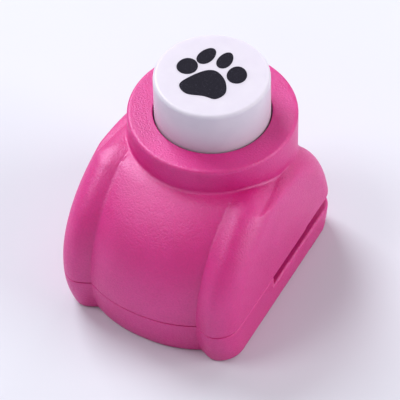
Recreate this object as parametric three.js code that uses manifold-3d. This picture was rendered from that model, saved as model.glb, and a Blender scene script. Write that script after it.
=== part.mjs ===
// Mini craft punch: a palm-sized paper punch with a round push button.
// Millimetres, +Z up. The origin is the middle of the bottom face of the
// overall box. -Y is the rounded belly, +Y is the side where paper goes in.
import * as THREE from 'three';
import { mergeVertices } from 'three/addons/utils/BufferGeometryUtils.js';
import Module from 'manifold-3d';

const wasm = await Module();
wasm.setup();

// ---------------------------------------------------------------- dimensions

// Casing, measured from the button's axis.
const BODY_WIDTH = 26.1;
const FRONT_REACH = 21.6; // axis to the belly
const BACK_REACH = 11.3; // axis to the back of the lower jaw
const BELLY_BULGE = 1.8; // belly ahead of the two grooves
const GROOVE_X = 7.9; // each groove's distance from the middle plane
const LOBE_RISE = 0.8; // side lobes ahead of the grooves
const LOBE_RADIUS = 3.4;
const BACK_CORNER_RADIUS = 2.75;
const WALL = 1.7;
const SHOULDER_Z = 21.4; // where the casing's roof meets the collar
const SEAM_Z = 6.4; // parting line of the two casing halves
const SEAM_GAP = 0.12;
const FOOT_CHAMFER = 0.35;
const LEAST_CORNER = 0.5; // smallest corner radius inside the walls
const CASING_FLOOR = 0.1; // inner posts start this far above the bottom face

// How each side of the casing curves with height: fullest at fullZ, drawn in by
// tuck at the foot, rounded over towards topZ. A higher power stays upright longer.
const FRONT_CURVE = { fullZ: SEAM_Z + 0.7, topZ: SHOULDER_Z + 1.5, tuck: 1.33, power: 2.1 };
const SIDE_CURVE = { fullZ: SEAM_Z, topZ: SHOULDER_Z + 7, tuck: 0.3, power: 5 };
const BACK_CURVE = { fullZ: SEAM_Z / 2, topZ: SHOULDER_Z + 0.1, tuck: 0.4, power: 1.34 };

// Paper throat.
const SLOT_START = 7.7; // end wall of the slot, ahead of the axis
const SLOT_FLOOR_Z = 4.3;
const SLOT_LEAD_IN = 0.35;
const SLOT_RELIEF = 0.35; // extra height of the slot's mouth at the back
const SLOT_RELIEF_START = 1.6;

// Paw pattern, shared by the punch, the guide block and the die.
const PAW_REACH = 4.95; // largest distance of the pattern from the axis
const PRONG_TAIL_CLEARANCE = 0.08;
const DIE_CLEARANCE = 0.05;

// Spring and button, from the pattern outwards.
const SPRING_PRONG_CLEARANCE = 0.3;
const SPRING_WIRE = 0.9;
const SPRING_TURNS = 6;
const SPRING_SKIRT_CLEARANCE = 0.45;
const SPRING_END_GAP = 0.05;
const FLAT_TURN_PITCH = 1.05; // rise of a closed end turn, in wire thicknesses
const BUTTON_WALL = 1.05;
const BUTTON_TOP_WALL = 1.4;
const BUTTON_DRAFT = 0.06;
const BUTTON_EDGE = 0.5;
const BUTTON_HEIGHT = 6.4; // above the collar
const BUTTON_GAP = 0.25; // round the button in the collar
const FLANGE_OVERHANG = 1.55;
const FLANGE_THICKNESS = 1.5;
const FLANGE_DEPTH = 5.2; // its upper face below the collar's top
const FLANGE_CLEARANCE = 0.4;
const STOP_GAP = 0.05;
const COLLAR_WALL = 3.3;
const COLLAR_TOP_Z = 25.2;
const COLLAR_RIM = 0.45;
const BORE_CHAMFER = 0.25;

// Stroke.
const PRESS_TRAVEL = 4.6;
const CUT_DEPTH = 0.9; // prong tips below the die's face at full press
const PRONG_ROOT = 0.5; // how far the prongs run into the punch's head

// Punch casting.
const HEAD_THICKNESS = 2;
const HEAD_RISE = 0.5; // head's underside above the flange's upper face
const HEAD_SKIRT_CLEARANCE = 0.3;
const HEAD_CHAMFER = 0.3;
const STEM_CHAMFER = 0.4;
const STEM_END_GAP = 0.3;
const STEM_RADIUS = 2;
const STEM_LENGTH = 5.4;
const STEM_WALL = 1.6;
const SEAT_GAP = 0.05; // between pieces that rest on each other

// Die set.
const DIE_THICKNESS = 1.6;
const PAPER_GAP = 1;
const GUIDE_THICKNESS = 4.5;
const PLATE_WALL_CLEARANCE = 1.05; // between the plates and the casing wall
const PLATE_POCKET_CLEARANCE = 0.3;
const PLATE_FRONT_MARGIN = 4.7; // plates ahead of the slot's end wall
const PLATE_BACK_MARGIN = 1.4; // plates inside the tower's bore at the back
const PLATE_SHOULDER_Y = 3;
const PLATE_CORNER = 1.5;
const SPACER_STOP_MARGIN = 0.5; // paper stop behind the slot's end wall
const SPRING_POCKET_DEPTH = 0.6;
const SPRING_POCKET_CLEARANCE = 0.3;

// Fasteners.
const RIVET_RADIUS = 1;
const RIVET_HEAD_RADIUS = 1.7;
const RIVET_HEAD_HEIGHT = 0.7;
const RIVET_HEAD_CHAMFER = 0.28;
const RIVET_HEAD_ROOM = 0.2;
const RIVET_X = 6.6;
const DOWEL_RADIUS = 0.9;
const DOWEL_CHAMFER = 0.2;
const DOWEL_X = 2.4;
const FASTENER_CLEARANCE = 0.05;
const SCREW_CLEARANCE = 0.12;
const HEAD_CLEARANCE = 0.22;
const DRIVE_WIDTH = 0.45;
const DRIVE_DEPTH = 0.5;
const DRIVE_REACH = 0.62; // arms of the cross recess, as a share of the head's radius
const HEAD_ROUND = 0.45; // rounded part of a screw's head, as a share of its height
const TIP_SHARE = 0.3; // blunt tip, as a share of the screw's radius
const BASE_SCREW = { radius: 0.95, headRadius: 1.75, headHeight: 1.2 };
const BASE_SCREW_LENGTH = 10;
const BASE_SCREW_RECESS = 0.8;
const PLATE_SCREW = { radius: 0.75, headRadius: 1.35, headHeight: 0.85 };
const GUIDE_SCREW_RECESS = 0.15;
const DIE_SCREW_RECESS = 0.45;
const DIE_SCREW_END_GAP = 0.1; // its tip below the die plate's face
const BASE_PILOT_ROOM = 0.5; // pilot holes run this far past the screws' tips
const GUIDE_PILOT_ROOM = 0.3;
const GUIDE_SCREW_LENGTH = 7;
const PLATE_SCREW_MARGIN = 1.9; // screw axis inside the plates' side
const PLATE_SCREW_Y = 1.5;
const BASE_SCREW_SIDE_MARGIN = 3.75;
const BASE_SCREW_FRONT_MARGIN = 6;
const BELLY_SCREW_MARGIN = 4.4;
const BASE_BOSS_RADIUS = 2.7;
const GUIDE_BOSS_RADIUS = 1.9;
const GUIDE_BOSS_CLEARANCE = 0.7; // below the flange at full press

// Lower casing.
const TUB_FLOOR = 1.6;
const TUB_DIVIDER = 0.9;
const CHIP_HOLE_CLEARANCE = 1.25;
const LIP_HEIGHT = 1;
const LIP_THICKNESS = 0.9;
const LIP_CLEARANCE = 0.15;
const LIP_HALF_LENGTH = 5.5;
const LIP_FOOT_DEPTH = 0.2; // the lip's foot runs this far into the tub's floor
const LIP_FILLER_DEPTH = 0.5; // its filler ends this far below the seam
const RIB_START = 3; // ribs start this far above the seam
const RIB_THICKNESS = 1.1;
const RIB_X = 4.6;

// ------------------------------------------------------------ derived values

const SPRING_INNER = PAW_REACH + SPRING_PRONG_CLEARANCE;
const SPRING_OUTER = SPRING_INNER + SPRING_WIRE;
const SKIRT_INNER = SPRING_OUTER + SPRING_SKIRT_CLEARANCE;
const BUTTON_RADIUS = SKIRT_INNER + BUTTON_WALL;
const BORE_RADIUS = BUTTON_RADIUS + BUTTON_GAP;
const COLLAR_RADIUS = BORE_RADIUS + COLLAR_WALL;
const FLANGE_RADIUS = BUTTON_RADIUS + FLANGE_OVERHANG;
const TOWER_BORE = FLANGE_RADIUS + FLANGE_CLEARANCE;
const AXIS_Y = (FRONT_REACH - Math.max(BACK_REACH, COLLAR_RADIUS)) / 2;

const BUTTON_TOP_Z = COLLAR_TOP_Z + BUTTON_HEIGHT;
const FLANGE_TOP_Z = COLLAR_TOP_Z - FLANGE_DEPTH;
const FLANGE_BOTTOM_Z = FLANGE_TOP_Z - FLANGE_THICKNESS;
const STOP_Z = FLANGE_TOP_Z + STOP_GAP;
const HEAD_BOTTOM_Z = FLANGE_TOP_Z + HEAD_RISE;
const HEAD_TOP_Z = HEAD_BOTTOM_Z + HEAD_THICKNESS;
const HEAD_RADIUS = SKIRT_INNER - HEAD_SKIRT_CLEARANCE;
const PRONG_TIP_Z = SLOT_FLOOR_Z - CUT_DEPTH + PRESS_TRAVEL;

const DIE_BOTTOM_Z = SLOT_FLOOR_Z - DIE_THICKNESS;
const JAW_FLOOR_Z = DIE_BOTTOM_Z - SEAT_GAP;
const GUIDE_BOTTOM_Z = SLOT_FLOOR_Z + PAPER_GAP;
const GUIDE_TOP_Z = GUIDE_BOTTOM_Z + GUIDE_THICKNESS;
const SPRING_SEAT_Z = GUIDE_TOP_Z - SPRING_POCKET_DEPTH;
const GUIDE_BOSS_BOTTOM_Z = GUIDE_TOP_Z + SEAT_GAP;
const GUIDE_BOSS_TOP_Z = FLANGE_BOTTOM_Z - PRESS_TRAVEL - GUIDE_BOSS_CLEARANCE;

const PLATE_HALF = BODY_WIDTH / 2 - WALL - PLATE_WALL_CLEARANCE;
const PLATE_FRONT = SLOT_START + PLATE_FRONT_MARGIN;
const PLATE_BACK = TOWER_BORE - PLATE_BACK_MARGIN;
const SPACER_BACK = SLOT_START + SPACER_STOP_MARGIN;
const SPACER_MIDDLE_Y = -(PLATE_FRONT + SPACER_BACK) / 2;
const PLATE_SCREW_X = PLATE_HALF - PLATE_SCREW_MARGIN;
const BASE_HEAD_Z = BASE_SCREW_RECESS + BASE_SCREW.headHeight;
const DIE_HEAD_Z = DIE_SCREW_RECESS + PLATE_SCREW.headHeight;
const DIE_SCREW_LENGTH = SLOT_FLOOR_Z - DIE_HEAD_Z - DIE_SCREW_END_GAP;
const GUIDE_HEAD_Z = GUIDE_BOTTOM_Z + GUIDE_SCREW_RECESS + PLATE_SCREW.headHeight;
const LIP_OUTLINE_Z = SEAM_Z + LIP_HEIGHT + WALL; // the lip stays inside the cavity up to its top
const BASE_SCREW_X = BODY_WIDTH / 2 - BASE_SCREW_SIDE_MARGIN;
const BASE_SCREW_Y = -(FRONT_REACH - BASE_SCREW_FRONT_MARGIN);
const BELLY_SCREW_Y = -(FRONT_REACH - BELLY_SCREW_MARGIN);

// Places of the fasteners, from the button's axis.
const BASE_SCREWS = [[-BASE_SCREW_X, BASE_SCREW_Y], [BASE_SCREW_X, BASE_SCREW_Y], [0, BELLY_SCREW_Y]];
const PLATE_SCREWS = [[-PLATE_SCREW_X, PLATE_SCREW_Y], [PLATE_SCREW_X, PLATE_SCREW_Y]];
const RIVETS = [[-RIVET_X, SPACER_MIDDLE_Y], [RIVET_X, SPACER_MIDDLE_Y]];
const DOWELS = [[-DOWEL_X, SPACER_MIDDLE_Y], [DOWEL_X, SPACER_MIDDLE_Y]];

const FAR = 60; // larger than the whole object, for cutting blocks
const PAST = 1; // how far a cutting tool runs past the face that it opens
const WELD = 1e-4; // points closer than this are one
const ROUND = 44; // segments of large round pieces
const SMALL_ROUND = 12; // segments of fasteners
const BELLY_STEPS = 6; // points of the casing's outline, from the middle to a groove
const LOBE_STEPS = 2;
const CORNER_STEPS = 5;
const EDGE_STEPS = 4;
const SHELL_LEVELS = 11; // heights at which the shell's outline is taken
const CAVITY_LEVELS = 6;
const TOE_STEPS = 6;
const PLATE_BACK_STEPS = 20;
const WIRE_SIDES = 6;
const STEPS_PER_TURN = 15;

// ----------------------------------------------------------------- materials

const PINK = { color: 0xd24a9a, roughness: 0.55, metalness: 0 };
const WHITE = { color: 0xf1eef6, roughness: 0.35, metalness: 0 };
const ZINC = { color: 0xa9abb0, roughness: 0.45, metalness: 0.9 };
const STEEL = { color: 0xc4c6ca, roughness: 0.3, metalness: 1 };
const SPRING_STEEL = { color: 0x8f9298, roughness: 0.3, metalness: 1 };

// -------------------------------------------------------------- solid helpers

// A closed three.js geometry as a solid that can be joined and cut.
function solid(geometry) {
  const bare = geometry.clone();
  bare.deleteAttribute('normal');
  bare.deleteAttribute('uv');
  const merged = mergeVertices(bare, WELD);
  const index = merged.index.array;
  const triVerts = [];
  for (let i = 0; i < index.length; i += 3) {
    const [a, b, c] = [index[i], index[i + 1], index[i + 2]];
    if (a !== b && b !== c && c !== a) triVerts.push(a, b, c);
  }
  return new wasm.Manifold(new wasm.Mesh({
    numProp: 3,
    vertProperties: new Float32Array(merged.attributes.position.array),
    triVerts: new Uint32Array(triVerts),
  }));
}

function geometryOf(body) {
  const mesh = body.getMesh();
  const geometry = new THREE.BufferGeometry();
  geometry.setAttribute('position', new THREE.BufferAttribute(new Float32Array(mesh.vertProperties), 3));
  geometry.setIndex(new THREE.BufferAttribute(new Uint32Array(mesh.triVerts), 1));
  return geometry;
}

const joined = (first, ...rest) => rest.reduce((body, next) => body.add(next), first);
const cut = (first, ...rest) => rest.reduce((body, next) => body.subtract(next), first);

function box(x0, x1, y0, y1, z0, z1) {
  const geometry = new THREE.BoxGeometry(x1 - x0, y1 - y0, z1 - z0);
  return solid(geometry.translate((x0 + x1) / 2, (y0 + y1) / 2, (z0 + z1) / 2));
}

// An upright cylinder or cone between two heights.
function drum(x, y, z0, z1, radius, segments = SMALL_ROUND, topRadius = radius) {
  const geometry = new THREE.CylinderGeometry(topRadius, radius, z1 - z0, segments);
  return solid(geometry.rotateX(Math.PI / 2).translate(x, y, (z0 + z1) / 2));
}

// A turned piece: profile points are [radius, height], from the bottom of the
// axis round the outside to the top of the axis.
function turned(profile, segments = ROUND, x = 0, y = 0) {
  const points = profile.map(([radius, height]) => new THREE.Vector2(radius, height));
  const geometry = new THREE.LatheGeometry(points, segments);
  return solid(geometry.rotateX(Math.PI / 2).translate(x, y, 0));
}

function slab(shape, z0, z1) {
  const options = { depth: z1 - z0, bevelEnabled: false, curveSegments: TOE_STEPS };
  const geometry = new THREE.ExtrudeGeometry(shape, options);
  return solid(geometry.translate(0, 0, z0));
}

// Points on an arc, for profiles and outlines.
function arc(x, y, radiusX, radiusY, from, to, steps) {
  const points = [];
  for (let i = 0; i <= steps; i += 1) {
    const angle = from + ((to - from) * i) / steps;
    points.push([x + radiusX * Math.cos(angle), y + radiusY * Math.sin(angle)]);
  }
  return points;
}

// Profile points of a rounded top edge, from the side onto the top.
const topEdge = (radius, z, edge) => arc(radius - edge, z - edge, edge, edge, 0, Math.PI / 2, EDGE_STEPS);

// A closed body through horizontal rings that all have the same point count.
function loft(rings) {
  const count = rings[0].length;
  const positions = rings.flat(2);
  const indices = [];
  for (let level = 0; level + 1 < rings.length; level += 1) {
    for (let i = 0; i < count; i += 1) {
      const a = level * count + i;
      const b = level * count + ((i + 1) % count);
      indices.push(a, b, b + count, a, b + count, a + count);
    }
  }
  const ends = [0, rings.length - 1];
  ends.forEach((level) => {
    const middle = positions.length / 3;
    const ring = rings[level];
    const centre = [0, 1, 2].map((axis) => ring.reduce((sum, point) => sum + point[axis], 0) / count);
    positions.push(...centre);
    for (let i = 0; i < count; i += 1) {
      const a = level * count + i;
      const b = level * count + ((i + 1) % count);
      if (level === 0) indices.push(middle, b, a);
      else indices.push(middle, a, b);
    }
  });
  const geometry = new THREE.BufferGeometry();
  geometry.setAttribute('position', new THREE.Float32BufferAttribute(positions, 3));
  geometry.setIndex(indices);
  return solid(geometry);
}

// -------------------------------------------------------------- casing surface

// Reach of a casing side at a height.
function reachAt(z, reach, { fullZ, topZ, tuck, power }) {
  if (z <= fullZ) return reach - tuck * ((fullZ - z) / fullZ) ** 2;
  const rise = Math.min((z - fullZ) / (topZ - fullZ), 1);
  return reach * Math.sqrt(1 - rise ** power);
}

const frontAt = (z) => reachAt(z, FRONT_REACH - BELLY_BULGE, FRONT_CURVE);
const sideAt = (z) => reachAt(z, BODY_WIDTH / 2, SIDE_CURVE);
const backAt = (z) => reachAt(z, BACK_REACH, BACK_CURVE);

// The casing's outline at a height, drawn in all round by inset, as a ring that
// runs anticlockwise. surfaceZ is the height whose outline is taken.
function casingRing(z, inset = 0, surfaceZ = z) {
  const front = frontAt(surfaceZ) - inset;
  const side = sideAt(surfaceZ) - inset;
  const back = backAt(surfaceZ) - inset;
  const lobe = Math.max(LOBE_RADIUS - inset, LEAST_CORNER);
  const corner = Math.max(BACK_CORNER_RADIUS - inset, LEAST_CORNER);
  const lobeX = side - lobe;
  const groove = Math.min(GROOVE_X, lobeX - LEAST_CORNER);
  const half = [];
  for (let i = 0; i < BELLY_STEPS; i += 1) {
    const across = i / BELLY_STEPS;
    half.push([groove * across, -front - BELLY_BULGE * (1 - across ** 2)]);
  }
  for (let i = 0; i < LOBE_STEPS; i += 1) {
    const across = i / LOBE_STEPS;
    const rise = LOBE_RISE * (1 - (1 - across) ** 2);
    half.push([groove + (lobeX - groove) * across, -front - rise]);
  }
  const lobeY = -front - LOBE_RISE + lobe;
  half.push(...arc(lobeX, lobeY, lobe, lobe, -Math.PI / 2, 0, CORNER_STEPS));
  half.push(...arc(side - corner, back - corner, corner, corner, 0, Math.PI / 2, CORNER_STEPS));
  const mirrored = half.slice(1).reverse().map(([x, y]) => [-x, y]);
  return [...half, ...mirrored].map(([x, y]) => [x, y, z]);
}

const heights = (z0, z1, steps) => Array.from({ length: steps + 1 }, (_, i) => z0 + ((z1 - z0) * i) / steps);

// ------------------------------------------------------------------ paw pattern

// Toe pads: centre, half sizes and lean, as shares of the pattern's reach.
const TOES = [
  { x: -0.71, y: -0.01, halfX: 0.27, halfY: 0.3, lean: 0.3 },
  { x: -0.44, y: 0.55, halfX: 0.21, halfY: 0.33, lean: 0.1 },
  { x: 0.07, y: 0.62, halfX: 0.19, halfY: 0.31, lean: -0.1 },
  { x: 0.59, y: 0.29, halfX: 0.24, halfY: 0.31, lean: -0.35 },
];
const PAD_MIDDLE = new THREE.Vector2(0.03, -0.38);
const PAD_POINTS = 20;
const PAD_GROWTH = 1.1; // the curve cuts corners, so its points move a little further than the clearance
const MAIN_PAD = [
  [0.06, 0.16], [0.42, -0.05], [0.62, -0.41], [0.5, -0.73], [0.17, -0.77],
  [-0.27, -0.89], [-0.56, -0.71], [-0.51, -0.4], [-0.23, 0.04],
];

// The five closed outlines of the pattern, grown outwards by a clearance.
function pawShapes(grow = 0) {
  const toes = TOES.map((toe) => {
    const shape = new THREE.Shape();
    const centre = new THREE.Vector2(toe.x, toe.y).multiplyScalar(PAW_REACH);
    const halfX = toe.halfX * PAW_REACH + grow;
    const halfY = toe.halfY * PAW_REACH + grow;
    shape.absellipse(centre.x, centre.y, halfX, halfY, 0, 2 * Math.PI, false, toe.lean);
    return shape;
  });
  const middle = PAD_MIDDLE.clone().multiplyScalar(PAW_REACH);
  const outline = MAIN_PAD.map(([x, y]) => {
    const point = new THREE.Vector2(x, y).multiplyScalar(PAW_REACH);
    const outward = point.clone().sub(middle).normalize();
    return point.addScaledVector(outward, grow * PAD_GROWTH);
  });
  const loop = new THREE.CatmullRomCurve3(outline.map((p) => new THREE.Vector3(p.x, p.y, 0)), true);
  const padPoints = loop.getPoints(PAD_POINTS).slice(0, -1);
  const pad = new THREE.Shape(padPoints.map((p) => new THREE.Vector2(p.x, p.y)));
  return [...toes, pad];
}

const pawPrisms = (z0, z1, grow) => pawShapes(grow).map((shape) => slab(shape, z0, z1));

// -------------------------------------------------------------------- die set

// Outline of the guide block and the die plate: straight sides, rounded front
// corners and a rounded back that follows the tower of the casing.
function plateShape(grow = 0) {
  const half = PLATE_HALF + grow;
  const front = -PLATE_FRONT - grow;
  const rear = PLATE_BACK - PLATE_SHOULDER_Y + grow;
  const cornerX = half - PLATE_CORNER;
  const cornerY = front + PLATE_CORNER;
  const points = [
    ...arc(cornerX, cornerY, PLATE_CORNER, PLATE_CORNER, -Math.PI / 2, 0, EDGE_STEPS),
    ...arc(0, PLATE_SHOULDER_Y, half, rear, 0, Math.PI, PLATE_BACK_STEPS),
    ...arc(-cornerX, cornerY, PLATE_CORNER, PLATE_CORNER, Math.PI, 1.5 * Math.PI, EDGE_STEPS),
  ];
  return new THREE.Shape(points.map(([x, y]) => new THREE.Vector2(x, y)));
}

const fastenerHoles = (places, z0, z1, radius) => places.map(([x, y]) => drum(x, y, z0, z1, radius));

function guideBlock() {
  const plate = slab(plateShape(), GUIDE_BOTTOM_Z, GUIDE_TOP_Z);
  const pocketRadius = SPRING_OUTER + SPRING_POCKET_CLEARANCE;
  return cut(
    plate,
    ...pawPrisms(0, FAR, PRONG_TAIL_CLEARANCE),
    drum(0, 0, SPRING_SEAT_Z, FAR, pocketRadius, ROUND),
    ...fastenerHoles(RIVETS, 0, FAR, RIVET_RADIUS + FASTENER_CLEARANCE),
    ...fastenerHoles(DOWELS, 0, FAR, DOWEL_RADIUS + FASTENER_CLEARANCE),
    ...fastenerHoles(PLATE_SCREWS, 0, FAR, PLATE_SCREW.radius + SCREW_CLEARANCE),
    ...fastenerHoles(PLATE_SCREWS, 0, GUIDE_HEAD_Z, PLATE_SCREW.headRadius + HEAD_CLEARANCE),
  );
}

function diePlate() {
  const plate = slab(plateShape(), DIE_BOTTOM_Z, SLOT_FLOOR_Z);
  return cut(
    plate,
    ...pawPrisms(0, FAR, DIE_CLEARANCE),
    ...fastenerHoles(RIVETS, 0, FAR, RIVET_RADIUS + FASTENER_CLEARANCE),
    ...fastenerHoles(DOWELS, 0, FAR, DOWEL_RADIUS + FASTENER_CLEARANCE),
    ...fastenerHoles(PLATE_SCREWS, 0, FAR, PLATE_SCREW.radius + SCREW_CLEARANCE),
  );
}

// The bar between the two plates. Its back edge is the paper stop.
function dieSpacer() {
  const z0 = SLOT_FLOOR_Z + SEAT_GAP;
  const z1 = GUIDE_BOTTOM_Z - SEAT_GAP;
  const bar = slab(plateShape(), z0, z1).intersect(box(-FAR, FAR, -FAR, -SPACER_BACK, 0, FAR));
  return cut(
    bar,
    ...fastenerHoles(RIVETS, 0, FAR, RIVET_RADIUS + FASTENER_CLEARANCE),
    ...fastenerHoles(DOWELS, 0, FAR, DOWEL_RADIUS + FASTENER_CLEARANCE),
  );
}

function rivet([x, y]) {
  const low = DIE_BOTTOM_Z - SEAT_GAP;
  const high = GUIDE_TOP_Z + SEAT_GAP;
  const edge = RIVET_HEAD_CHAMFER;
  return turned([
    [0, low - RIVET_HEAD_HEIGHT], [RIVET_HEAD_RADIUS - edge, low - RIVET_HEAD_HEIGHT],
    [RIVET_HEAD_RADIUS, low - edge], [RIVET_HEAD_RADIUS, low], [RIVET_RADIUS, low],
    [RIVET_RADIUS, high], [RIVET_HEAD_RADIUS, high], [RIVET_HEAD_RADIUS, high + edge],
    [RIVET_HEAD_RADIUS - edge, high + RIVET_HEAD_HEIGHT], [0, high + RIVET_HEAD_HEIGHT],
  ], SMALL_ROUND, x, y);
}

function dowel([x, y]) {
  const low = DIE_BOTTOM_Z + SEAT_GAP;
  const high = GUIDE_TOP_Z - SEAT_GAP;
  const edge = DOWEL_CHAMFER;
  return turned([
    [0, low], [DOWEL_RADIUS - edge, low], [DOWEL_RADIUS, low + edge],
    [DOWEL_RADIUS, high - edge], [DOWEL_RADIUS - edge, high], [0, high],
  ], SMALL_ROUND, x, y);
}

// ---------------------------------------------------------------------- screws

// A pan-head screw that points up, with its head's underside at headZ and a
// cross recess in the head.
function screw([x, y], size, headZ, length) {
  const bottom = headZ - size.headHeight;
  const round = size.headHeight * HEAD_ROUND;
  const tip = headZ + length;
  const body = turned([
    [0, bottom], [size.headRadius - round, bottom], [size.headRadius, bottom + round],
    [size.headRadius, headZ], [size.radius, headZ], [size.radius, tip - size.radius],
    [size.radius * TIP_SHARE, tip], [0, tip],
  ], SMALL_ROUND, x, y);
  const arm = size.headRadius * DRIVE_REACH;
  const half = DRIVE_WIDTH / 2;
  const top = bottom + DRIVE_DEPTH;
  return cut(
    body,
    box(x - arm, x + arm, y - half, y + half, bottom - PAST, top),
    box(x - half, x + half, y - arm, y + arm, bottom - PAST, top),
  );
}

const baseScrew = (place) => screw(place, BASE_SCREW, BASE_HEAD_Z - SEAT_GAP, BASE_SCREW_LENGTH);
const guideScrew = (place) => screw(place, PLATE_SCREW, GUIDE_HEAD_Z - SEAT_GAP, GUIDE_SCREW_LENGTH);
const dieScrew = (place) => screw(place, PLATE_SCREW, DIE_HEAD_Z - SEAT_GAP, DIE_SCREW_LENGTH);

// ---------------------------------------------------------------- upper casing

function upperShell() {
  const low = SEAM_Z + SEAM_GAP;
  const body = loft(heights(low, SHOULDER_Z, SHELL_LEVELS).map((z) => casingRing(z)));
  const collar = turned([
    [0, low], [COLLAR_RADIUS, low], ...topEdge(COLLAR_RADIUS, COLLAR_TOP_Z, COLLAR_RIM), [0, COLLAR_TOP_Z],
  ]);
  const outside = joined(body, collar);

  const roof = SHOULDER_Z - WALL;
  const cavityRings = heights(low - PAST, roof, CAVITY_LEVELS);
  const cavity = loft(cavityRings.map((z) => casingRing(z, WALL, Math.max(z, low) + WALL)));
  const tower = drum(0, 0, 0, STOP_Z, TOWER_BORE, ROUND);
  const bore = turned([
    [0, STOP_Z - PAST], [BORE_RADIUS, STOP_Z - PAST], [BORE_RADIUS, COLLAR_TOP_Z - BORE_CHAMFER],
    [BORE_RADIUS + BORE_CHAMFER, COLLAR_TOP_Z], [BORE_RADIUS + BORE_CHAMFER, FAR], [0, FAR],
  ]);
  const hollow = cut(outside, cavity, tower, bore);

  const screwBosses = BASE_SCREWS.map(([x, y]) => drum(x, y, low, SHOULDER_Z, BASE_BOSS_RADIUS));
  const guideBosses = PLATE_SCREWS.flatMap(([x, y]) => {
    const outer = Math.sign(x) * (BODY_WIDTH / 2 - WALL / 2);
    const [x0, x1] = [Math.min(x, outer), Math.max(x, outer)];
    return [
      drum(x, y, GUIDE_BOSS_BOTTOM_Z, GUIDE_BOSS_TOP_Z, GUIDE_BOSS_RADIUS),
      box(x0, x1, y - RIB_THICKNESS, y + RIB_THICKNESS, GUIDE_BOSS_BOTTOM_Z, GUIDE_BOSS_TOP_Z),
    ];
  });
  const ribDepth = -(PLATE_FRONT + PLATE_POCKET_CLEARANCE);
  const ribs = [-RIB_X, RIB_X].map((x) => box(
    x - RIB_THICKNESS / 2, x + RIB_THICKNESS / 2, -FRONT_REACH, ribDepth, SEAM_Z + RIB_START, SHOULDER_Z,
  ));
  const inner = joined(...screwBosses, ...guideBosses, ...ribs).intersect(outside);
  const flangeRoom = drum(0, 0, GUIDE_BOSS_TOP_Z, STOP_Z, TOWER_BORE, ROUND);
  const springRoom = drum(0, 0, 0, STOP_Z, SPRING_OUTER + SPRING_POCKET_CLEARANCE, ROUND);
  const fitted = hollow.add(cut(inner, flangeRoom, springRoom));

  const screwTop = BASE_HEAD_Z + BASE_SCREW_LENGTH + BASE_PILOT_ROOM;
  const guideScrewTop = GUIDE_HEAD_Z + GUIDE_SCREW_LENGTH + GUIDE_PILOT_ROOM;
  const relief = box(-FAR, FAR, SLOT_RELIEF_START, FAR, 0, SEAM_Z + SLOT_RELIEF);
  return cut(
    fitted,
    slab(plateShape(PLATE_POCKET_CLEARANCE), 0, GUIDE_BOSS_BOTTOM_Z),
    ...fastenerHoles(BASE_SCREWS, 0, screwTop, BASE_SCREW.radius + SCREW_CLEARANCE),
    ...fastenerHoles(PLATE_SCREWS, 0, guideScrewTop, PLATE_SCREW.radius + SCREW_CLEARANCE),
    relief,
  );
}

// ---------------------------------------------------------------- lower casing

function baseCover() {
  const foot = [casingRing(0, FOOT_CHAMFER), casingRing(FOOT_CHAMFER)];
  const block = loft([...foot, ...heights(FOOT_CHAMFER, SEAM_Z, 3).slice(1).map((z) => casingRing(z))]);
  const jawEdge = SLOT_FLOOR_Z - SLOT_LEAD_IN;
  const jaw = loft([
    ...foot, ...heights(FOOT_CHAMFER, jawEdge, 2).slice(1).map((z) => casingRing(z)),
    casingRing(SLOT_FLOOR_Z, SLOT_LEAD_IN),
  ]);
  const front = block.subtract(box(-FAR, FAR, -SLOT_START, FAR, SLOT_FLOOR_Z - PAST, FAR));
  const outside = joined(front, jaw);

  const dividerY = -(PLATE_FRONT + PLATE_POCKET_CLEARANCE + TUB_DIVIDER);
  const tub = loft([casingRing(TUB_FLOOR, WALL, SEAM_Z), casingRing(SEAM_Z + PAST, WALL, SEAM_Z)])
    .intersect(box(-FAR, FAR, -FAR, dividerY, 0, FAR));
  const posts = joined(...BASE_SCREWS.map(([x, y]) => drum(x, y, CASING_FLOOR, SEAM_Z, BASE_BOSS_RADIUS)));
  const walls = cut(outside, tub).add(posts.intersect(outside));

  const bossRoom = BASE_BOSS_RADIUS + PLATE_POCKET_CLEARANCE;
  const chipHole = drum(0, 0, -PAST, JAW_FLOOR_Z + PAST, PAW_REACH + CHIP_HOLE_CLEARANCE, ROUND);
  const rivetSeatZ = JAW_FLOOR_Z - RIVET_HEAD_HEIGHT - RIVET_HEAD_ROOM;
  return cut(
    walls.add(lip()),
    slab(plateShape(PLATE_POCKET_CLEARANCE), JAW_FLOOR_Z, FAR),
    chipHole,
    ...fastenerHoles(BASE_SCREWS, SEAM_Z, FAR, bossRoom),
    ...fastenerHoles(RIVETS, rivetSeatZ, FAR, RIVET_HEAD_RADIUS + HEAD_CLEARANCE),
    ...fastenerHoles(BASE_SCREWS, -PAST, FAR, BASE_SCREW.radius + SCREW_CLEARANCE),
    ...fastenerHoles(BASE_SCREWS, -PAST, BASE_HEAD_Z, BASE_SCREW.headRadius + HEAD_CLEARANCE),
    ...fastenerHoles(PLATE_SCREWS, -PAST, FAR, PLATE_SCREW.radius + SCREW_CLEARANCE),
    ...fastenerHoles(PLATE_SCREWS, -PAST, DIE_HEAD_Z, PLATE_SCREW.headRadius + HEAD_CLEARANCE),
  );
}

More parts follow.
